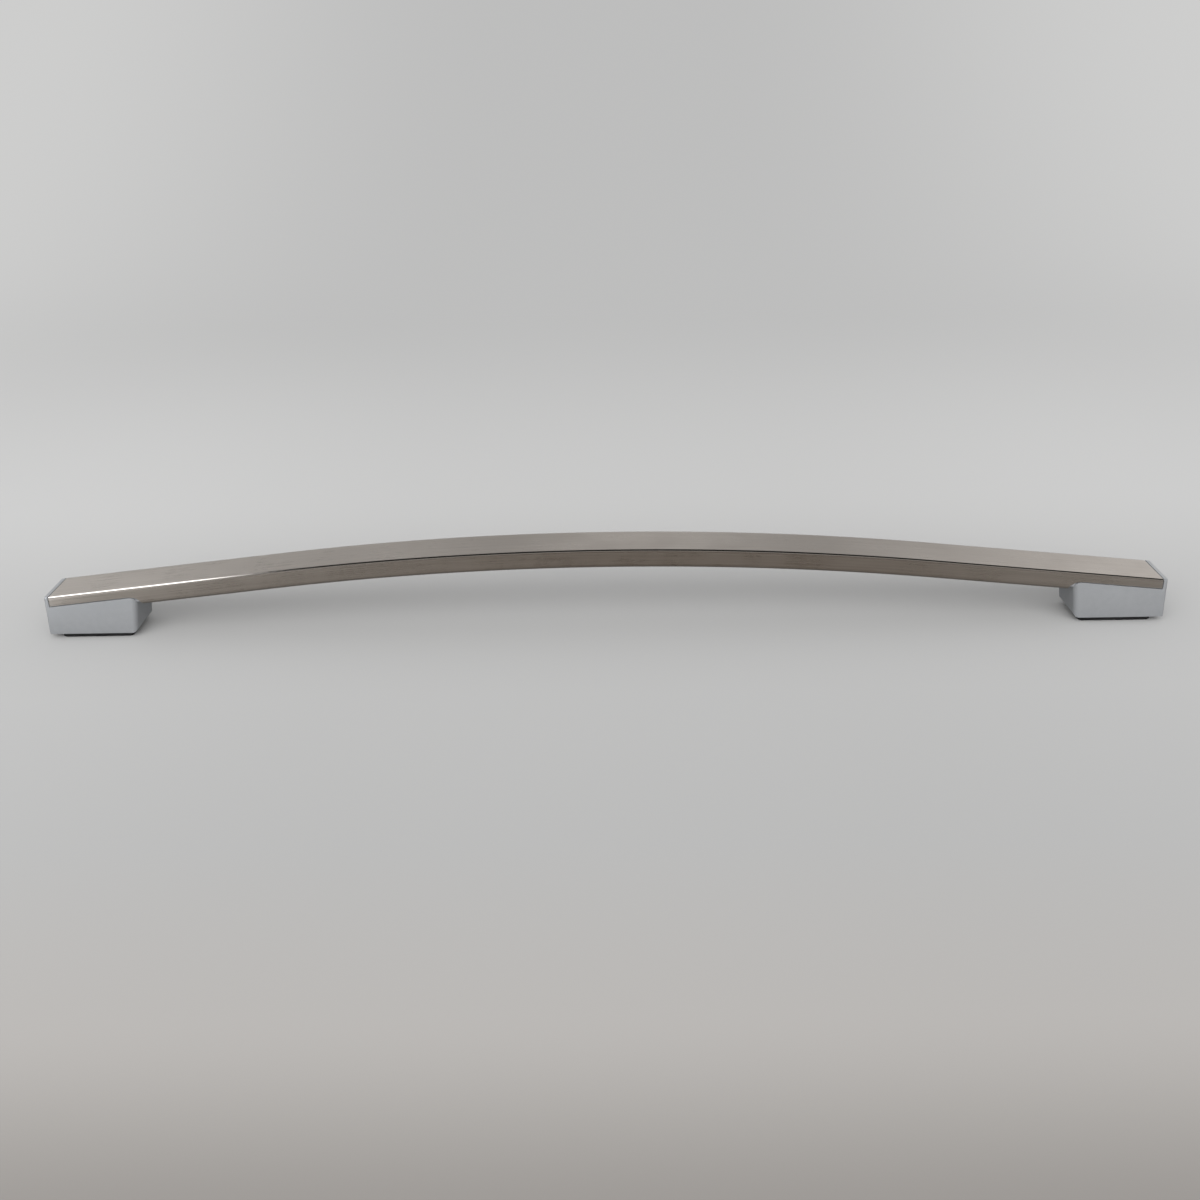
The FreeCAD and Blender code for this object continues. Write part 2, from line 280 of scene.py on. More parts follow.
@dataclass(frozen=True)
class Skin:
    """A material in the making: its shader, and the place and facing of each point."""

    material: Material
    sheet: NodeSheet
    shader: Node
    place: NodeSocket
    surface: Node

    def give(self, label: str, value: object) -> None:
        """Set one of the shader's inputs to a number or an output socket."""
        self.sheet.feed(self.shader.inputs[label], value)

    def grain(self, along: float, across: float) -> dict[str, NodeSocket]:
        """Lengthwise grain: its streak and its broader band."""
        return GRAIN.place(self.sheet, Place=self.place, Along=along, Across=across)

    def mottle(self, size: float) -> dict[str, NodeSocket]:
        """Mottle of the coat: its fine part and its broad part."""
        return MOTTLE.place(self.sheet, Place=self.place, Size=size)

    def wear(self) -> NodeSocket:
        """Mask of the rubbed edges."""
        pointiness = self.surface.outputs["Pointiness"]
        return WEAR.place(self.sheet, Place=self.place, Pointiness=pointiness)["Mask"]

    def dust(self, amount: float) -> NodeSocket:
        """Mask of the dust on faces that look up."""
        facing = self.surface.outputs["Normal"]
        return DUST.place(self.sheet, Place=self.place, Facing=facing, Amount=amount)["Mask"]

    def bump(self, height: NodeSocket, strength: float, distance: float) -> None:
        """Lead a height into the shader's normal.

        Args:
            height: the height's socket.
            strength: how much of the relief shows.
            distance: its depth in metres.
        """
        relief = self.sheet.add("ShaderNodeBump")
        relief.inputs["Strength"].default_value = strength
        relief.inputs["Distance"].default_value = distance
        self.sheet.join(height, relief.inputs["Height"])
        self.give("Normal", relief.outputs["Normal"])


@dataclass(frozen=True)
class Finish:
    """What every finish has: a name, and a skin to start from."""

    name: str

    def start(self, attribute: str = "") -> Skin:
        """Make the skin, its places from an attribute or from the piece's own axes."""
        material, sheet, target = open_material(self.name)
        shader = sheet.add("ShaderNodeBsdfPrincipled")
        sheet.join(shader.outputs["BSDF"], target)
        if attribute:
            place = sheet.add("ShaderNodeAttribute", attribute_name=attribute).outputs["Vector"]
        else:
            place = sheet.add("ShaderNodeTexCoord").outputs["Object"]
        return Skin(material, sheet, shader, place, sheet.add("ShaderNodeNewGeometry"))


@dataclass(frozen=True)
class BrushedSteel(Finish):
    """Stainless sheet, brushed along the handle."""

    light: Colour = (0.642, 0.586, 0.532)
    deep: Colour = (0.520, 0.470, 0.422)
    worn: Colour = (0.68, 0.66, 0.63)
    dusty: Colour = (0.50, 0.47, 0.44)
    smooth: float = 0.22
    dull: float = 0.34
    smudged: float = 0.06
    gritty: float = 0.3
    across_grain: float = 0.60
    quarter_turn: float = 0.25
    along: float = 26.0
    across: float = 3600.0
    polish: float = 0.12
    edge_start: float = 0.01475
    edge_depth: float = 0.0015
    edge_fade: float = 0.0003
    depth_fade: float = 0.0002

    def rolled_edge(self, skin: Skin) -> NodeSocket:
        """Mask of the round edge beside the broad face, which the brushing leaves smoother.

        Args:
            skin: the bar's skin, whose place is that on the straightened bar.

        Returns:
            The socket with 1 on the edge and 0 elsewhere.
        """
        sheet = skin.sheet
        _, across, height = sheet.axes(skin.place)
        beside = sheet.span(sheet.math("ABSOLUTE", across), self.edge_start,
                            self.edge_start + self.edge_fade)
        high = sheet.span(height, -self.edge_depth - self.depth_fade, -self.edge_depth)
        return sheet.math("MULTIPLY", beside, high)

    def material(self) -> Material:
        """Build the material: streaks in colour, roughness and relief, smudges and dust."""
        skin = self.start(BAR_PLACE)
        sheet = skin.sheet
        grain, mottle = skin.grain(self.along, self.across), skin.mottle(700.0)
        dust = skin.dust(0.10)

        streak = sheet.math("MULTIPLY", sheet.span(grain["Streak"], 0.30, 0.70), 0.50)
        tone = sheet.math("ADD", streak, sheet.math("MULTIPLY", grain["Band"], 0.50))
        wear_and_edge_highlight = sheet.blend(skin.wear(), sheet.blend(tone, self.deep, self.light), self.worn)
        skin.give("Base Color", sheet.blend(dust, wear_and_edge_highlight, self.dusty))

        brushed = sheet.span(grain["Streak"], 0.25, 0.75, self.smooth, self.dull)
        smudge = sheet.span(mottle["Broad"], 0.42, 0.68, 0.0, self.smudged)
        gritty = sheet.math("MULTIPLY", dust, self.gritty)
        worked = sheet.math("ADD", sheet.math("ADD", brushed, smudge), gritty, clamp=True)
        skin.give("Roughness", sheet.span(self.rolled_edge(skin), 0.0, 1.0, worked, self.polish))

        skin.give("Metallic", 1.0)
        skin.give("Anisotropic", self.across_grain)
        skin.give("Anisotropic Rotation", self.quarter_turn)
        direction = sheet.add("ShaderNodeAttribute", attribute_name=BRUSH_DIRECTION)
        skin.give("Tangent", direction.outputs["Vector"])
        skin.bump(grain["Streak"], strength=0.22, distance=0.00002)
        return skin.material


@dataclass(frozen=True)
class SatinSilver(Finish):
    """Cool silver coat on the die castings."""

    colour: Colour = (0.392, 0.405, 0.420)
    shade: Colour = (0.376, 0.389, 0.404)
    worn: Colour = (0.600, 0.615, 0.630)
    dusty: Colour = (0.50, 0.49, 0.47)
    worn_share: float = 0.12
    metallic: float = 0.35
    smooth: float = 0.36
    dull: float = 0.44
    gritty: float = 0.3
    coat: float = 0.20
    coat_roughness: float = 0.22

    def material(self) -> Material:
        """Build the material: fine orange peel, flake, soft wear on the edges and dust."""
        skin = self.start()
        sheet, mottle, dust = skin.sheet, skin.mottle(2600.0), skin.dust(0.05)
        coat = sheet.blend(sheet.span(mottle["Fine"], 0.3, 0.7), self.shade, self.colour)
        wear = sheet.math("MULTIPLY", skin.wear(), self.worn_share)
        wear_and_edge_highlight = sheet.blend(wear, coat, self.worn)
        skin.give("Base Color", sheet.blend(dust, wear_and_edge_highlight, self.dusty))
        uneven = sheet.span(mottle["Broad"], 0.3, 0.7, self.smooth, self.dull)
        skin.give("Roughness", sheet.math("ADD", uneven,
                                          sheet.math("MULTIPLY", dust, self.gritty)))
        skin.give("Metallic", self.metallic)
        skin.give("Coat Roughness", self.coat_roughness)
        skin.give("Coat Weight", self.coat)
        skin.bump(mottle["Fine"], strength=0.08, distance=0.00001)
        return skin.material


@dataclass(frozen=True)
class PlainMetal(Finish):
    """Zinc-plated steel or turned brass: small metal pieces inside the handle."""

    colour: Colour = (0.58, 0.59, 0.60)
    shade: Colour = (0.44, 0.45, 0.47)
    smooth: float = 0.24
    dull: float = 0.42
    brightening: Colour = (1.25, 1.22, 1.20)

    def material(self) -> Material:
        """Build the material: drawn grain, clouded plating and brighter edges."""
        skin = self.start()
        sheet, mottle, grain = skin.sheet, skin.mottle(1800.0), skin.grain(300.0, 4200.0)
        cloud = sheet.span(mottle["Broad"], 0.3, 0.7, 0.0, 0.6)
        line = sheet.math("MULTIPLY", grain["Streak"], 0.5)
        plated = sheet.blend(sheet.math("ADD", cloud, line, clamp=True), self.shade, self.colour)
        bright = tuple(part * rise for part, rise in zip(self.colour, self.brightening))
        skin.give("Base Color", sheet.blend(skin.wear(), plated, bright))
        skin.give("Roughness", sheet.span(mottle["Fine"], 0.3, 0.7, self.smooth, self.dull))
        skin.give("Metallic", 1.0)
        skin.bump(grain["Streak"], strength=0.3, distance=0.00002)
        return skin.material


@dataclass(frozen=True)
class MouldedRubber(Finish):
    """Matt black rubber of the door pads."""

    colour: Colour = (0.010, 0.010, 0.011)
    chalky: Colour = (0.028, 0.028, 0.028)
    dusty: Colour = (0.20, 0.19, 0.18)
    shine: float = 0.2

    def material(self) -> Material:
        """Build the material: fine moulded texture, paler rubbed edges and dust."""
        skin = self.start()
        sheet, mottle = skin.sheet, skin.mottle(3200.0)
        cloud = sheet.math("MULTIPLY", mottle["Broad"], 0.4)
        black = sheet.blend(sheet.math("MAXIMUM", cloud, skin.wear()), self.colour, self.chalky)
        skin.give("Base Color", sheet.blend(skin.dust(0.12), black, self.dusty))
        skin.give("Roughness", sheet.span(mottle["Broad"], 0.3, 0.7, 0.55, 0.72))
        skin.give("Specular IOR Level", self.shine)
        skin.bump(mottle["Fine"], strength=0.4, distance=0.00004)
        return skin.material


# Surfaces


def grid_quads(points: np.ndarray) -> np.ndarray:
    """Faces between the neighbours of a grid of points.

    Args:
        points: the grid, with its rows and columns first.

    Returns:
        One row for each face: the indices of a point, its right neighbour, the one across
        and the one above, counted along the grid's rows.
    """
    rows, columns = points.shape[:2]
    index = np.arange(rows * columns).reshape(rows, columns)
    return np.stack(
        [index[:-1, :-1], index[:-1, 1:], index[1:, 1:], index[1:, :-1]], axis=-1
    ).reshape(-1, 4)


@dataclass(frozen=True)
class Patch:
    """A grid of points, each with its place on the straightened bar."""

    points: np.ndarray
    bar_place: np.ndarray


@dataclass(frozen=True)
class BentPath:
    """Middle line of the bar's broad face: an arc with a straight run at each end."""

    crown_height: float = 0.0565
    arc_radius: float = 2.028
    arc_half_span: float = 0.2134

    @property
    def slope(self) -> float:
        """Turn of the arc from its middle to its end, in radians."""
        return math.asin(self.arc_half_span / self.arc_radius)

    @property
    def arc_run(self) -> float:
        """Length along the face from the middle to the arc's end."""
        return self.arc_radius * self.slope

    def turn(self, run: np.ndarray) -> np.ndarray:
        """Turn of the path at a run from the middle: run over radius, held past the arc."""
        return np.clip(run / self.arc_radius, -self.slope, self.slope)

    def place(self, run: np.ndarray, across: np.ndarray, depth: np.ndarray) -> np.ndarray:
        """Points of the bar in the frame.

        Formula: on the arc a point lies at the turn, at the radius less its depth from the
        arc's centre. Past the arc it moves on along the tangent by the rest of the run.

        Args:
            run: signed length along the broad face from the middle.
            across: place across the bar, which is Y.
            depth: depth under the broad face.

        Returns:
            The points, with X, Y and Z last.
        """
        run, across, depth = np.broadcast_arrays(run, across, depth)
        turn = self.turn(run)
        rest = run - turn * self.arc_radius
        radius = self.arc_radius - depth
        x = radius * np.sin(turn) + rest * np.cos(turn)
        z = (self.crown_height - self.arc_radius) + radius * np.cos(turn) - rest * np.sin(turn)
        return np.stack([x, across, z], axis=-1)

    def run_at(self, x: float, depth: np.ndarray) -> np.ndarray:
        """Run on the right straight end of the points at x, at a depth under the face.

        Formula: the length past the arc is x less the arc's half span, plus the depth times
        the sine of the slope, all over the cosine of the slope.
        """
        past = x - self.arc_half_span + depth * math.sin(self.slope)
        return self.arc_run + past / math.cos(self.slope)

    def height_at(self, x: float) -> float:
        """Height of the broad face on the straight end at x."""
        top = self.crown_height - self.arc_radius + self.arc_radius * math.cos(self.slope)
        return top - (x - self.arc_half_span) * math.tan(self.slope)


@dataclass(frozen=True)
class FootShape:
    """The leaning faces of an end support that the bar is cut to."""

    base_height: float = 0.0035
    half_length: float = 0.3624
    length: float = 0.0576
    lean: float = math.radians(8.8)
    draft: float = math.radians(2.5)
    shoulder_radius: float = 0.004
    lip_thickness: float = 0.0025
    lip_gap: float = 0.0005
    seam_gap: float = 0.0006

    def base_inner(self, path: BentPath) -> float:
        """Place of the inner face where it meets the foot's underside."""
        rise = path.height_at(self.half_length) - self.base_height
        return self.half_length + rise * math.tan(self.draft) - self.length

    def shoulder_end(self, path: BentPath, flange_depth: float) -> float:
        """Place along X where the round of the shoulder meets the top under the bar."""
        inner = self.base_inner(path)
        seam = (flange_depth + self.seam_gap) / math.cos(path.slope)
        top = path.height_at(inner) - seam
        lean, fall = math.tan(self.lean), math.tan(path.slope)
        rise = (top - self.base_height) / (1 - lean * fall)
        corner = math.pi / 2 - path.slope - self.lean
        return inner - rise * lean + self.shoulder_radius / math.tan(corner / 2)


@dataclass(frozen=True)
class HandleBar:
    """The formed stainless tube, with a round-ended notch over each end support."""

    path: BentPath
    foot: FootShape
    finish: Material
    width: float = 0.0325
    depth: float = 0.0126
    wall: float = 0.001
    face_edge: float = 0.0015
    rear_edge: float = 0.003
    flange_depth: float = 0.0064
    notch_radius: float = 0.008
    notch_lead: float = 1.6
    arc_steps: int = 150
    straight_steps: int = 24
    notch_steps: int = 14
    flange_steps: int = 16
    edge_steps: int = 8
    flat_steps: int = 6
    rear_side_steps: int = 5
    cut_edge: float = 0.00015
    cut_edge_steps: int = 2
    cut_edge_angle: float = 50.0

    @property
    def notch_run(self) -> float:
        """Run where the notch's round meets the flange's lower edge."""
        end = self.foot.shoulder_end(self.path, self.flange_depth)
        return float(self.path.run_at(end, np.array(self.flange_depth)))

    def half_outline(self, inset: float) -> tuple[np.ndarray, np.ndarray]:
        """Half of the tube's section, as (across, depth) points.

        Formula: flat face, quarter circle of the face edge, side, quarter circle of the rear
        edge and flat rear, all moved in by the inset, which leaves the circles' centres.

        Args:
            inset: how far the outline lies inside the outer skin.

        Returns:
            The part from the middle of the face to the flange's depth, and the part from
            there to the middle of the rear.
        """
        half = self.width / 2
        quarter = np.linspace(0.0, math.pi / 2, self.edge_steps + 1)
        upper_radius, lower_radius = self.face_edge - inset, self.rear_edge - inset
        face = np.linspace(0.0, half - self.face_edge, self.flat_steps + 1)[:-1]
        edge_across = half - self.face_edge + upper_radius * np.sin(quarter)
        edge_depth = self.face_edge - upper_radius * np.cos(quarter)
        side = np.linspace(self.face_edge, self.flange_depth, self.flat_steps + 1)[1:]
        upper = np.column_stack([
            np.concatenate([face, edge_across, np.full(side.size, half - inset)]),
            np.concatenate([np.full(face.size, inset), edge_depth, side]),
        ])
        rest = np.linspace(self.flange_depth, self.depth - self.rear_edge,
                           self.rear_side_steps + 1)
        rear_across = half - self.rear_edge + lower_radius * np.cos(quarter[1:])
        rear_depth = self.depth - self.rear_edge + lower_radius * np.sin(quarter[1:])
        flat = np.linspace(half - self.rear_edge, 0.0, self.flat_steps + 1)[1:]
        lower = np.column_stack([
            np.concatenate([np.full(rest.size, half - inset), rear_across, flat]),
            np.concatenate([rest, rear_depth, np.full(flat.size, self.depth - inset)]),
        ])
        return upper, lower

    def whole_outlines(self, inset: float) -> tuple[np.ndarray, np.ndarray]:
        """Both halves of the section together: its upper part and its lower part."""
        upper, lower = self.half_outline(inset)
        flip = np.array([-1.0, 1.0])
        over = np.concatenate([(upper * flip)[:0:-1], upper])
        under = np.concatenate([lower * flip, lower[-2::-1]])
        return over, under

    def cut_run(self, depth: np.ndarray) -> np.ndarray:
        """Run where the notch's round cuts a line of the tube at a depth.

        Formula: the round's centre lies one notch radius under the flange's lower edge, so
        the run is the notch's run less the root of the radius squared minus the height over
        the centre squared.
        """
        over = self.flange_depth + self.notch_radius - depth
        return self.notch_run - np.sqrt(np.maximum(self.notch_radius ** 2 - over ** 2, 0.0))

    def runs(self, depth: np.ndarray, notched: bool) -> np.ndarray:
        """Runs of the grid's columns for each line of the section.

        Args:
            depth: the lines' depths.
            notched: whether the lines end at the notch instead of at the bar's end.

        Returns:
            One row of runs for each line, from the left end to the right.
        """
        plain_end = self.notch_run - self.notch_lead * self.notch_radius
        arc = np.linspace(0.0, self.path.arc_run, self.arc_steps + 1)
        straight = np.linspace(self.path.arc_run, plain_end, self.straight_steps + 1)[1:]
        plain = np.concatenate([arc, straight])
        step = np.linspace(0.0, 1.0, self.notch_steps + 1)[1:]
        column = depth[:, None]
        cut = self.cut_run(column) if notched else np.full_like(column, self.notch_run)
        right = [np.repeat(plain[None, :], depth.size, axis=0),
                 plain_end + (cut - plain_end) * step]
        if not notched:
            lip = self.foot.half_length - self.foot.lip_thickness - self.foot.lip_gap
            end = self.path.run_at(lip, column)
            onward = np.linspace(0.0, 1.0, self.flange_steps + 1)[1:]
            right.append(self.notch_run + (end - self.notch_run) * onward)
        half = np.concatenate(right, axis=1)
        return np.concatenate([-half[:, :0:-1], half], axis=1)

    def patch(self, runs: np.ndarray, outline: np.ndarray) -> Patch:
        """Carry an outline along the path.

        Args:
            runs: one row of runs for each point of the outline.
            outline: its (across, depth) points.

        Returns:
            The grid, with the place on the straightened bar kept for the grain.
        """
        across = np.broadcast_to(outline[:, :1], runs.shape)
        depth = np.broadcast_to(outline[:, 1:], runs.shape)
        return Patch(
            self.path.place(runs, across, depth), np.stack([runs, across, -depth], axis=-1)
        )

    def build(self) -> Object:
        """Make the bar as one closed shell, dress it and let it stand for its solid.

        Returns:
            The finished object.
        """
        skins = []
        for inset in (0.0, self.wall):
            over, under = self.whole_outlines(inset)
            skins.append((
                self.patch(self.runs(over[:, 1], False), over),
                self.patch(self.runs(under[:, 1], True), under),
            ))
        (outer_over, outer_under), (inner_over, inner_under) = skins
        ends = [(slice(None), column) for column in (0, -1)]
        past_notch = slice(0, self.flange_steps + 1), slice(-self.flange_steps - 1, None)
        flange_edges = [(row, columns) for row in (0, -1) for columns in past_notch]
        patches = [outer_over, outer_under, inner_over, inner_under]
        patches += [wall_strip(outer_over, inner_over, line) for line in ends]
        patches += [wall_strip(outer_under, inner_under, line) for line in ends]
        patches += [wall_strip(outer_over, inner_over, line) for line in flange_edges]
        bar = closed_shell("handle_bar_skin", patches)
        add_brush_direction(bar.data, self.path)
        bar.data.materials.append(self.finish)
        soften_edges(bar, self.cut_edge, self.cut_edge_steps, self.cut_edge_angle)
        settle(bar, Slot.STAINLESS, "handle_bar")
        return bar


def wall_strip(outer: Patch, inner: Patch, line: tuple[object, object]) -> Patch:
    """Narrow strip across the tube's wall, from a line of one skin to that of the other.

    Args:
        outer, inner: the two skins.
        line: row and column of the line, one of them a slice.

    Returns:
        A grid with the outer line and the inner line side by side.
    """
    return Patch(np.stack([outer.points[line], inner.points[line]], axis=1),
                 np.stack([outer.bar_place[line], inner.bar_place[line]], axis=1))


def closed_shell(name: str, patches: list[Patch]) -> Object:
    """Join grids whose borders meet into one closed mesh.

    Args:
        name: the object's name.
        patches: the grids.

    Returns:
        The object, with its faces turned outwards and shaded smooth.
    """
    offsets = np.cumsum([0] + [patch.points.size // 3 for patch in patches[:-1]])
    points = np.concatenate([patch.points.reshape(-1, 3) for patch in patches])
    places = np.concatenate([patch.bar_place.reshape(-1, 3) for patch in patches])
    quads = np.concatenate([grid_quads(patch.points) + start
                            for patch, start in zip(patches, offsets)])
    mesh = bpy.data.meshes.new(name)
    mesh.from_pydata(points.tolist(), [], quads.tolist())
    kept = mesh.attributes.new(BAR_PLACE, "FLOAT_VECTOR", "POINT")
    kept.data.foreach_set("vector", places.astype(np.float32).ravel())
    close_mesh(mesh)
    return new_object(name, mesh)


def close_mesh(mesh: Mesh, flat_angle: float = 0.0) -> None:
    """Merge doubled points, drop collapsed faces and turn every face outwards.

    Args:
        mesh: the mesh, changed in place.
        flat_angle: faces that meet at less than this many degrees become one.
    """
    work = bmesh.new()
    work.from_mesh(mesh)
    bmesh.ops.remove_doubles(work, verts=work.verts, dist=MERGE_DISTANCE)
    bmesh.ops.dissolve_degenerate(work, dist=COLLAPSE_LENGTH, edges=work.edges)
    if flat_angle > 0:
        bmesh.ops.dissolve_limit(work, angle_limit=math.radians(flat_angle),
                                 verts=work.verts, edges=work.edges)
    bmesh.ops.recalc_face_normals(work, faces=work.faces)
    open_edges = sum(1 for edge in work.edges if len(edge.link_faces) != 2)
    if open_edges:
        LOG.warning("%s has %d open edges", mesh.name, open_edges)
    work.to_mesh(mesh)
    work.free()
    mesh.shade_smooth()


def add_brush_direction(mesh: Mesh, path: BentPath) -> None:
    """Keep the direction of the brushing at each point of the bar.

    Formula: the tangent of the path at the point's run, which is (cosine, 0, minus sine) of
    the turn there.

    Args:
        mesh: the bar's mesh.
        path: the bar's path.
    """
    count = len(mesh.vertices)
    places = np.zeros(count * 3, np.float32)
    mesh.attributes[BAR_PLACE].data.foreach_get("vector", places)
    turn = path.turn(places.reshape(-1, 3)[:, 0])
    direction = np.stack([np.cos(turn), np.zeros(count), -np.sin(turn)], axis=1)
    kept = mesh.attributes.new(BRUSH_DIRECTION, "FLOAT_VECTOR", "POINT")
    kept.data.foreach_set("vector", direction.astype(np.float32).ravel())


def new_object(name: str, data: ID) -> Object:
    """Put a mesh, a lamp or a camera in the scene as an object at the origin."""
    made = bpy.data.objects.new(name, data)
    bpy.context.scene.collection.objects.link(made)
    return made


def soften_edges(piece: Object, width: float, segments: int, angle: float) -> BevelModifier:
    """Round the sharp edges of a piece.

    Args:
        piece: the object.
        width: how far the round reaches from the edge.
        segments: faces across the round.
        angle: smallest angle in degrees between two faces that is rounded.
    """
    bevel = piece.modifiers.new("edge_rounds", "BEVEL")
    bevel.width = width
    bevel.segments = segments
    bevel.limit_method = "ANGLE"
    bevel.angle_limit = math.radians(angle)
    bevel.harden_normals = True
    bevel.use_clamp_overlap = True
    return bevel


def settle(piece: Object, slot: Slot, *nodes: str) -> None:
    """Let a new piece ride on the handle, in place of its solids."""
    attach(piece, BODY)
    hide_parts(*nodes)


def merged_copy(node: str, name: str, flat_angle: float) -> Object:
    """Copy a solid's mesh, merged into one closed surface.

    Args:
        node: the solid's name.
        name: the copy's name.
        flat_angle: faces that meet at less than this many degrees become one.

    Returns:
        The copy, shaded smooth and with no material.
    """
    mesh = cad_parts[node].data.copy()
    mesh.name = name
    mesh.materials.clear()
    close_mesh(mesh, flat_angle)
    return new_object(name, mesh)


# Sub-assemblies


@dataclass(frozen=True)
class EndSupport:
    """One end of the handle: casting, rubber pad and the fastenings inside."""

    end: End
    silver: Material
    # Much paler coat for the edge rounds: a painted highlight along the edges.
    wear_and_edge_highlight: Material
    plated: Material
    brass: Material
    rubber: Material
    edge_round: float = 0.00055
    edge_steps: int = 3
    edge_angle: float = 32.0
    flat_angle: float = 0.5

    def build_casting(self) -> Object:
        """Round the casting's edges and give it its satin coat, with a much paler coat on the
        rounds as a painted highlight.
        """
        node = self.end.node("end_support")
        casting = merged_copy(node, f"{node}_casting", self.flat_angle)
        casting.data.materials.append(self.silver)
        casting.data.materials.append(self.wear_and_edge_highlight)
        rounds = soften_edges(casting, self.edge_round, self.edge_steps, self.edge_angle)
        # Every round takes the paler coat: a painted highlight, not wear.
        rounds.material = casting.data.materials.find(self.wear_and_edge_highlight.name)
        settle(casting, Slot.SILVER, node)
        return casting

    def dress_solids(self) -> list[Object]:
        """Give the solids that keep their own shape their finishes."""
        finishes = {
            "door_pad": self.rubber,
            "nut_plate": self.plated,
            "bar_screws": self.plated,
            "lock_washers": self.plated,
            "thread_inserts": self.brass,
        }
        dressed = []
        for base, finish in finishes.items():
            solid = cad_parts[self.end.node(base)]
            solid.data.materials.clear()
            solid.data.materials.append(finish)
            dressed.append(solid)
        return dressed

    def build(self) -> list[Object]:
        """Make and dress every piece of this end."""
        return [self.build_casting(), *self.dress_solids()]


# Studio


@dataclass(frozen=True)
class MirroredRoom:
    """What shiny metal sees of the room in front of the handle and behind it.

    Each band behind the handle is its centre and half width, as shares of the reach, and how
    much of the level it takes.
    """

    middle: Colour = (0.146, 0.128, 0.111)
    sides: Colour = (0.415, 0.420, 0.420)
    past_end: Colour = (0.980, 1.000, 1.020)
    to_left: Change = (-0.02, -0.36, 0.0, 0.50)
    to_right: Change = (0.18, 0.42, 0.0, 0.46)
    to_past_end: Change = (-0.36, -0.43)
    plain: Colour = (0.590, 0.590, 0.592)
    bands: tuple[tuple[float, float, float], ...] = (
        (-0.72, 0.20, 0.12), (-0.24, 0.22, 0.32), (0.43, 0.22, 0.33), (0.72, 0.14, 0.08),
    )
    step_down: Change = (-0.30, -0.60, 0.0, 0.22)
    left_rise: Change = (-0.80, -1.05, 0.0, 0.14)
    right_rise: Change = (0.84, 1.05, 0.0, 0.45)
    wall_reach: float = 1.74
    room_reach: float = 0.46

    def in_front(self, sheet: NodeSheet, x: NodeSocket) -> NodeSocket:
        """Colour that shiny metal sees in front of the handle.

        Formula: dark and warm in the middle, paler in a straight line towards both sides, and
        palest past the left end.

        Args:
            sheet: the sheet of the floor or of the room.
            x: the place on the floor, or the direction, along X.
        """
        left, right = sheet.span(x, *self.to_left), sheet.span(x, *self.to_right)
        grey = sheet.blend(sheet.math("MAXIMUM", left, right), self.middle, self.sides)
        return sheet.blend(sheet.span(x, *self.to_past_end, smooth=True), grey, self.past_end)

    def behind(self, sheet: NodeSheet, x: NodeSocket, reach: float) -> NodeSocket:
        """Brightness that shiny metal sees behind the handle.

        Formula: one plain level, less four soft dark bands and a step down on the left, plus a
        rise past both ends.

        Args:
            sheet: the sheet of the wall or of the room.
            x: the place on the wall, or the direction, along X.
            reach: place or direction along X that the handle's ends mirror.
        """
        place = sheet.math("DIVIDE", x, reach)
        level: object = 1.0
        for centre, half_width, drop in self.bands:
            away = sheet.math("ABSOLUTE", sheet.math("SUBTRACT", place, centre))
            dim = sheet.span(away, 0.0, half_width, drop, 0.0, smooth=True)
            level = sheet.math("SUBTRACT", level, dim)
        step, left, right = (sheet.span(place, *change, smooth=True) for change
                             in (self.step_down, self.left_rise, self.right_rise))
        level = sheet.math("ADD", sheet.math("SUBTRACT", level, step),
                           sheet.math("ADD", left, right))
        mixed = sheet.blend(level, (0.0, 0.0, 0.0), self.plain)
        mixed.node.clamp_factor = False
        return mixed


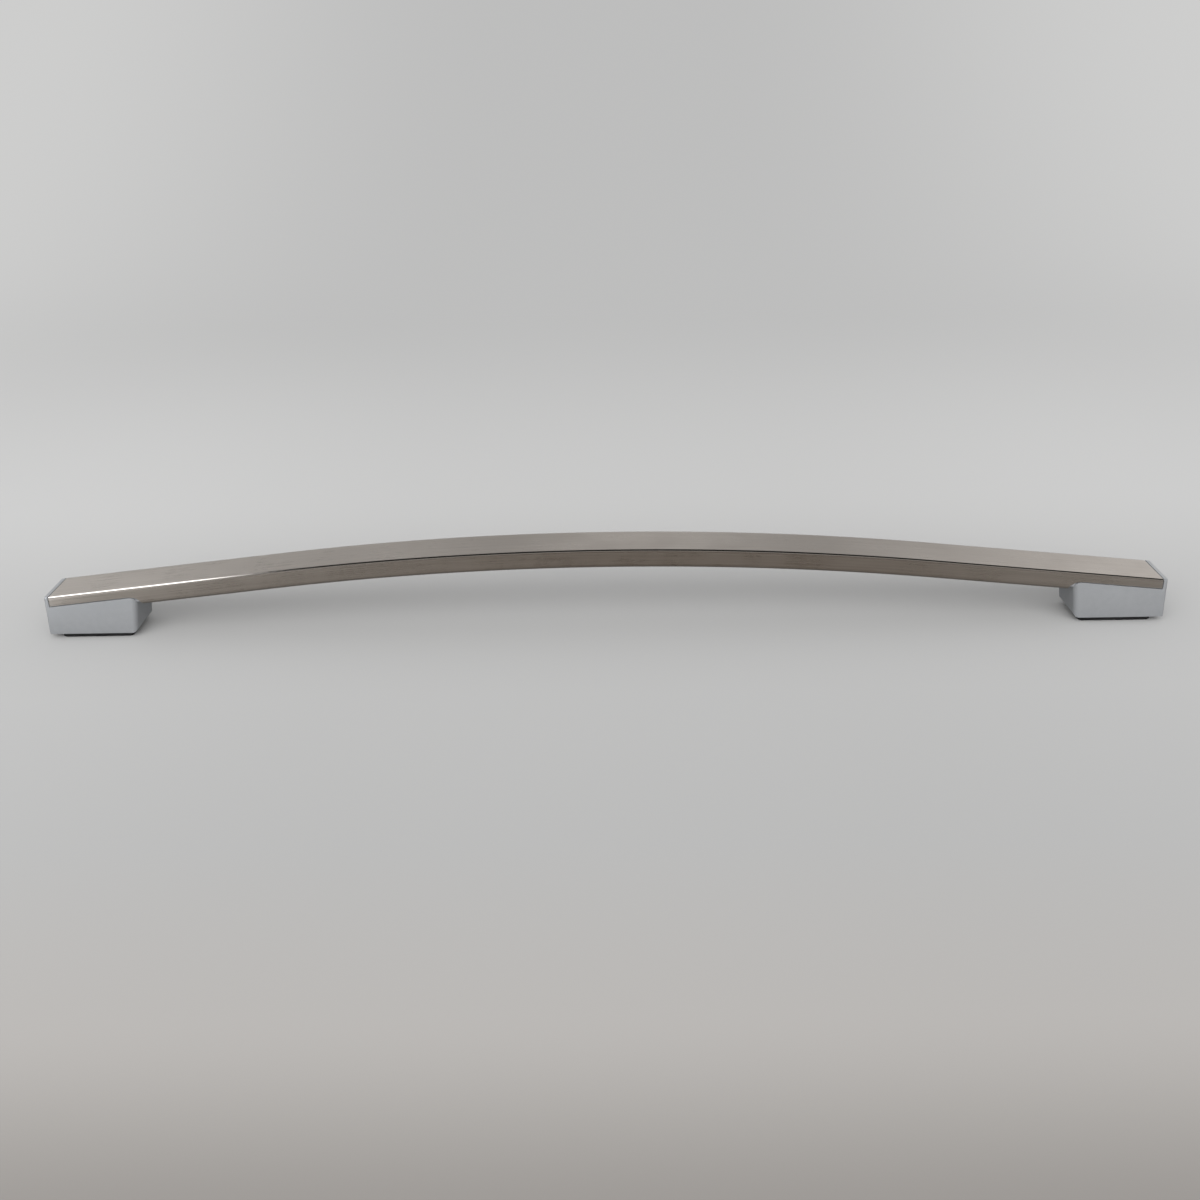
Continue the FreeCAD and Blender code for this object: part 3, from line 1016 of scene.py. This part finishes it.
@dataclass(frozen=True)
class Sweep:
    """Pale seamless floor that curves up into the wall behind the handle."""

    mirrored: MirroredRoom
    half_width: float = 3.2
    front: float = -3.2
    bend_start: float = 1.2
    bend_radius: float = 1.6
    wall_height: float = 1.5
    # Glow of the far paper, which is an emitter: painted light, paler to the sides.
    far_glow: Colour = (0.512, 0.512, 0.510)
    far_side_glow: Colour = (0.615, 0.615, 0.610)
    front_tint: Colour = (1.055, 1.0, 0.945)
    back_tint: Colour = (1.0, 1.0, 0.990)
    # What glossy rays see of the floor near and under the bar: painted shade.
    shaded_floor: Colour = (0.105, 0.109, 0.113)
    under_bar: Colour = (0.130, 0.128, 0.126)
    # Rises of the paper's tone along Y and to the sides: the fall of the light, painted into the
    # paper.
    front_rise: Change = (-0.48, -0.36, 0.285, 0.462)
    middle_rise: Change = (-0.36, -0.10, 0.0, 0.060)
    back_rise: Change = (-0.02, 0.24, 0.0, 0.070)
    side_rise: Change = (0.12, 0.50, 0.0, 0.035)
    to_back_tint: Change = (-0.45, -0.25)
    to_far: Change = (0.25, 0.95)
    to_far_side: Change = (0.20, 1.30)
    to_shaded: Change = (-0.020, 0.030)
    past_bar: Change = (0.016, 0.036, 1.0, 0.0)
    to_wall: Change = (0.30, 0.60)

    def profile(self) -> np.ndarray:
        """Side view of the sweep as (Y, Z) points.

        Formula: a flat run, a quarter circle and an upright run.
        """
        flat = np.linspace(self.front, self.bend_start, 30)
        turn = np.linspace(0.0, math.pi / 2, 25)[1:]
        rise = np.linspace(self.bend_radius, self.bend_radius + self.wall_height, 8)[1:]
        back = self.bend_start + self.bend_radius
        y = np.concatenate([flat, self.bend_start + self.bend_radius * np.sin(turn),
                            np.full(rise.size, back)])
        z = np.concatenate([np.zeros(flat.size), self.bend_radius * (1 - np.cos(turn)), rise])
        return np.column_stack([y, z])

    def paper_tone_and_painted_light(self, sheet: NodeSheet, x: NodeSocket, y: NodeSocket) -> NodeSocket:
        """Colour of the paper with painted light and shade: darker and warmer to the front, a
        little paler to the sides.
        """
        front = sheet.span(y, *self.front_rise, smooth=True)
        middle = sheet.span(y, *self.middle_rise)
        back = sheet.span(y, *self.back_rise, smooth=True)
        side = sheet.span(sheet.math("ABSOLUTE", x), *self.side_rise, smooth=True)
        tone = sheet.math("ADD", sheet.math("ADD", front, middle), sheet.math("ADD", back, side))
        tint = sheet.blend(sheet.span(y, *self.to_back_tint), self.front_tint, self.back_tint)
        return sheet.product(sheet.vector(tone, tone, tone), tint)

    def material(self) -> Material:
        """Matt paper with painted light in its tone and a painted glow far off; glossy rays see
        painted reflections instead, with painted shade near and under the bar; open from below
        for a view of the underside.
        """
        material, sheet, target = open_material("studio_paper")
        x, y, _ = sheet.axes(sheet.add("ShaderNodeTexCoord").outputs["Object"])

        paper = sheet.coloured("ShaderNodeBsdfDiffuse", self.paper_tone_and_painted_light(sheet, x, y))
        # The far paper glows instead of taking light: painted light, paler to the sides.
        wide = sheet.span(sheet.math("ABSOLUTE", x), *self.to_far_side, smooth=True)
        far = sheet.coloured("ShaderNodeEmission",
                             sheet.blend(wide, self.far_glow, self.far_side_glow))
        seen = sheet.choose(sheet.span(y, *self.to_far, smooth=True), paper, far)

        # Glossy rays see the floor as an emitter: painted reflections of the room, with painted
        # shade near and under the bar.
        shaded = sheet.span(y, *self.to_shaded, smooth=True)
        near = sheet.blend(shaded, self.mirrored.in_front(sheet, x), self.shaded_floor)
        under = sheet.span(sheet.math("ABSOLUTE", y), *self.past_bar, smooth=True)
        floor = sheet.blend(under, near, self.under_bar)
        wall = self.mirrored.behind(sheet, x, self.mirrored.wall_reach)
        gloss = sheet.blend(sheet.span(y, *self.to_wall, smooth=True), floor, wall)
        glow = sheet.coloured("ShaderNodeEmission", gloss)
        rays = sheet.add("ShaderNodeLightPath")
        shown = sheet.choose(rays.outputs["Is Glossy Ray"], seen, glow)

        surface = sheet.add("ShaderNodeNewGeometry")
        clear = sheet.add("ShaderNodeBsdfTransparent").outputs[0]
        sheet.join(sheet.choose(surface.outputs["Backfacing"], shown, clear), target)
        return material

    def build(self) -> None:
        """Make the sweep as a grid: its side view carried along X."""
        side = self.profile()
        x = np.linspace(-self.half_width, self.half_width, 9)
        points = np.stack([
            np.repeat(x[None, :], len(side), axis=0),
            np.repeat(side[:, :1], x.size, axis=1),
            np.repeat(side[:, 1:], x.size, axis=1),
        ], axis=-1)
        mesh = bpy.data.meshes.new("studio_sweep")
        mesh.from_pydata(points.reshape(-1, 3).tolist(), [], grid_quads(points).tolist())
        mesh.shade_smooth()
        mesh.materials.append(self.material())
        sweep = new_object("studio_sweep", mesh)


@dataclass(frozen=True)
class Softbox:
    """A broad area lamp aimed at the handle, with no mirror image of its own in the metal."""

    name: str = "key_softbox"
    place: tuple[float, float, float] = (-0.55, -1.20, 1.15)
    size: tuple[float, float] = (2.2, 1.3)
    power: float = 6.0

    def build(self) -> None:
        """Hang the lamp and turn it to the origin."""
        lamp = bpy.data.lights.new(self.name, "AREA")
        lamp.shape = "RECTANGLE"
        lamp.size, lamp.size_y = self.size
        lamp.energy = self.power
        hung = new_object(self.name, lamp)
        hung.visible_glossy = False
        back = np.array(self.place) / np.linalg.norm(self.place)
        right = np.cross((0.0, 0.0, 1.0), back)
        right /= np.linalg.norm(right)
        turned = Matrix(np.column_stack([right, np.cross(back, right), back]).tolist())
        hung.matrix_world = Matrix.Translation(self.place) @ turned.to_4x4()


@dataclass(frozen=True)
class Room:
    """Soft light from all round, and what shiny metal sees of the room."""

    mirrored: MirroredRoom
    overhead: Colour = (0.58, 0.58, 0.585)
    low_sides: Colour = (0.05, 0.05, 0.05)
    front_light: Colour = (3.10, 3.10, 3.12)
    front_wall: Colour = (0.30, 0.295, 0.29)
    ceiling: Colour = (0.012, 0.012, 0.012)
    left_lamp: Colour = (3.20, 3.35, 3.50)
    backdrop: Colour = (0.56, 0.56, 0.556)
    to_overhead: Change = (0.0, 0.55)
    to_front_light: Change = (-0.30, -0.85)
    to_raised_light: Change = (0.05, 0.45, 0.15)
    to_rear: Change = (-0.15, 0.35)
    to_front_wall: Change = (0.10, -0.15)
    above_table: Change = (0.05, 0.35)
    to_ceiling: Change = (0.62, 0.78)
    into_lamp: Change = (-0.40, -0.46)
    out_of_lamp: Change = (-0.66, -0.78, 1.0, 0.0)

    def build(self) -> None:
        """Build the world's nodes and put the world in the scene."""
        world = bpy.data.worlds.new("studio_room")
        world.use_nodes = True
        sheet = NodeSheet(world.node_tree)
        sheet.tree.nodes.clear()
        output = sheet.add("ShaderNodeOutputWorld")
        x, y, z = sheet.axes(sheet.add("ShaderNodeTexCoord").outputs["Generated"])

        high = sheet.span(z, *self.to_overhead, smooth=True)
        above = sheet.blend(high, self.low_sides, self.overhead)
        forward = sheet.span(y, *self.to_front_light, smooth=True)
        raised = sheet.span(z, *self.to_raised_light, smooth=True)
        soft = sheet.blend(sheet.math("MULTIPLY", forward, raised), above, self.front_light)

        rearward = sheet.span(y, *self.to_rear, smooth=True)
        walls = sheet.blend(rearward, self.mirrored.in_front(sheet, x),
                            self.mirrored.behind(sheet, x, self.mirrored.room_reach))
        frontward = sheet.math("MULTIPLY", sheet.span(y, *self.to_front_wall),
                               sheet.span(z, *self.above_table, smooth=True))
        walls = sheet.blend(frontward, walls, self.front_wall)
        over = sheet.span(z, *self.to_ceiling, smooth=True)
        lamp = sheet.math("MULTIPLY", sheet.span(x, *self.into_lamp, smooth=True),
                          sheet.span(x, *self.out_of_lamp, smooth=True))
        gloss = sheet.blend(over, walls, sheet.blend(lamp, self.ceiling, self.left_lamp))

        rays = sheet.add("ShaderNodeLightPath")
        lit = sheet.blend(rays.outputs["Is Glossy Ray"], soft, gloss)
        shown = sheet.blend(rays.outputs["Is Camera Ray"], lit, self.backdrop)
        sheet.join(sheet.coloured("ShaderNodeBackground", shown), output.inputs["Surface"])
        bpy.context.scene.world = world


@dataclass(frozen=True)
class Viewpoint:
    """The photograph's camera: where it stands, how it is turned and its lens."""

    name: str = "photo_view"
    place: tuple[float, float, float] = (0.006907, -0.749051, 0.362649)
    yaw: float = math.radians(-0.7056)
    pitch: float = math.radians(24.9469)
    roll: float = math.radians(-1.2275)
    lens: float = 37.5
    sensor: float = 36.0
    nearest: float = 0.01
    farthest: float = 50.0

    def turned(self) -> Matrix:
        """Rotation of the camera.

        Formula: the line of sight follows yaw and pitch, the frame's right is level, and
        both the right and the up direction turn about the line of sight by the roll.
        """
        level = math.cos(self.pitch)
        ahead = np.array([math.sin(self.yaw) * level, math.cos(self.yaw) * level,
                          -math.sin(self.pitch)])
        right = np.cross(ahead, (0.0, 0.0, 1.0))
        right /= np.linalg.norm(right)
        up = np.cross(right, ahead)
        cosine, sine = math.cos(self.roll), math.sin(self.roll)
        axes = [cosine * right + sine * up, cosine * up - sine * right, -ahead]
        return Matrix(np.column_stack(axes).tolist()).to_4x4()

    def build(self) -> None:
        """Make the camera and hand it to the scene."""
        lens = bpy.data.cameras.new(self.name)
        lens.sensor_width = self.sensor
        lens.lens = self.lens
        lens.clip_start, lens.clip_end = self.nearest, self.farthest
        camera = new_object(self.name, lens)
        camera.matrix_world = Matrix.Translation(self.place) @ self.turned()
        bpy.context.scene.camera = camera


def build_studio() -> None:
    """Make the camera, the sweep, the room and the lamp."""
    mirrored = MirroredRoom()
    Viewpoint().build()
    Sweep(mirrored).build()
    Room(mirrored).build()
    Softbox().build()
    bpy.context.scene.view_settings.view_transform = "Standard"


def main() -> None:
    """Build the studio and the handle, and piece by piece."""
    logging.basicConfig(level=logging.INFO, format="%(name)s: %(message)s")
    build_studio()
    build_shared_effects()
    steel = BrushedSteel("brushed_stainless_bar").material()
    silver = SatinSilver("satin_silver_casting").material()
    # Much paler, glossier copy of the satin coat for the edge rounds: a painted highlight.
    wear_and_edge_highlight = SatinSilver("satin_silver_painted_edge_highlight", colour=(0.820, 0.835, 0.850),
                         shade=(0.760, 0.775, 0.790), metallic=0.3, smooth=0.28,
                         dull=0.36).material()
    plated = PlainMetal("plated_steel_fastening").material()
    brass = PlainMetal("turned_brass_insert", colour=(0.72, 0.56, 0.30),
                       shade=(0.60, 0.44, 0.22), smooth=0.20, dull=0.34).material()
    rubber = MouldedRubber("moulded_black_rubber").material()

    made = [HandleBar(BentPath(), FootShape(), steel).build()]
    for end in End:
        made += EndSupport(end, silver, wear_and_edge_highlight, plated, brass, rubber).build()
    for piece in made:
        LOG.info("%s: %d faces", piece.name, len(piece.data.polygons))


if __name__ == "__main__":
    main()
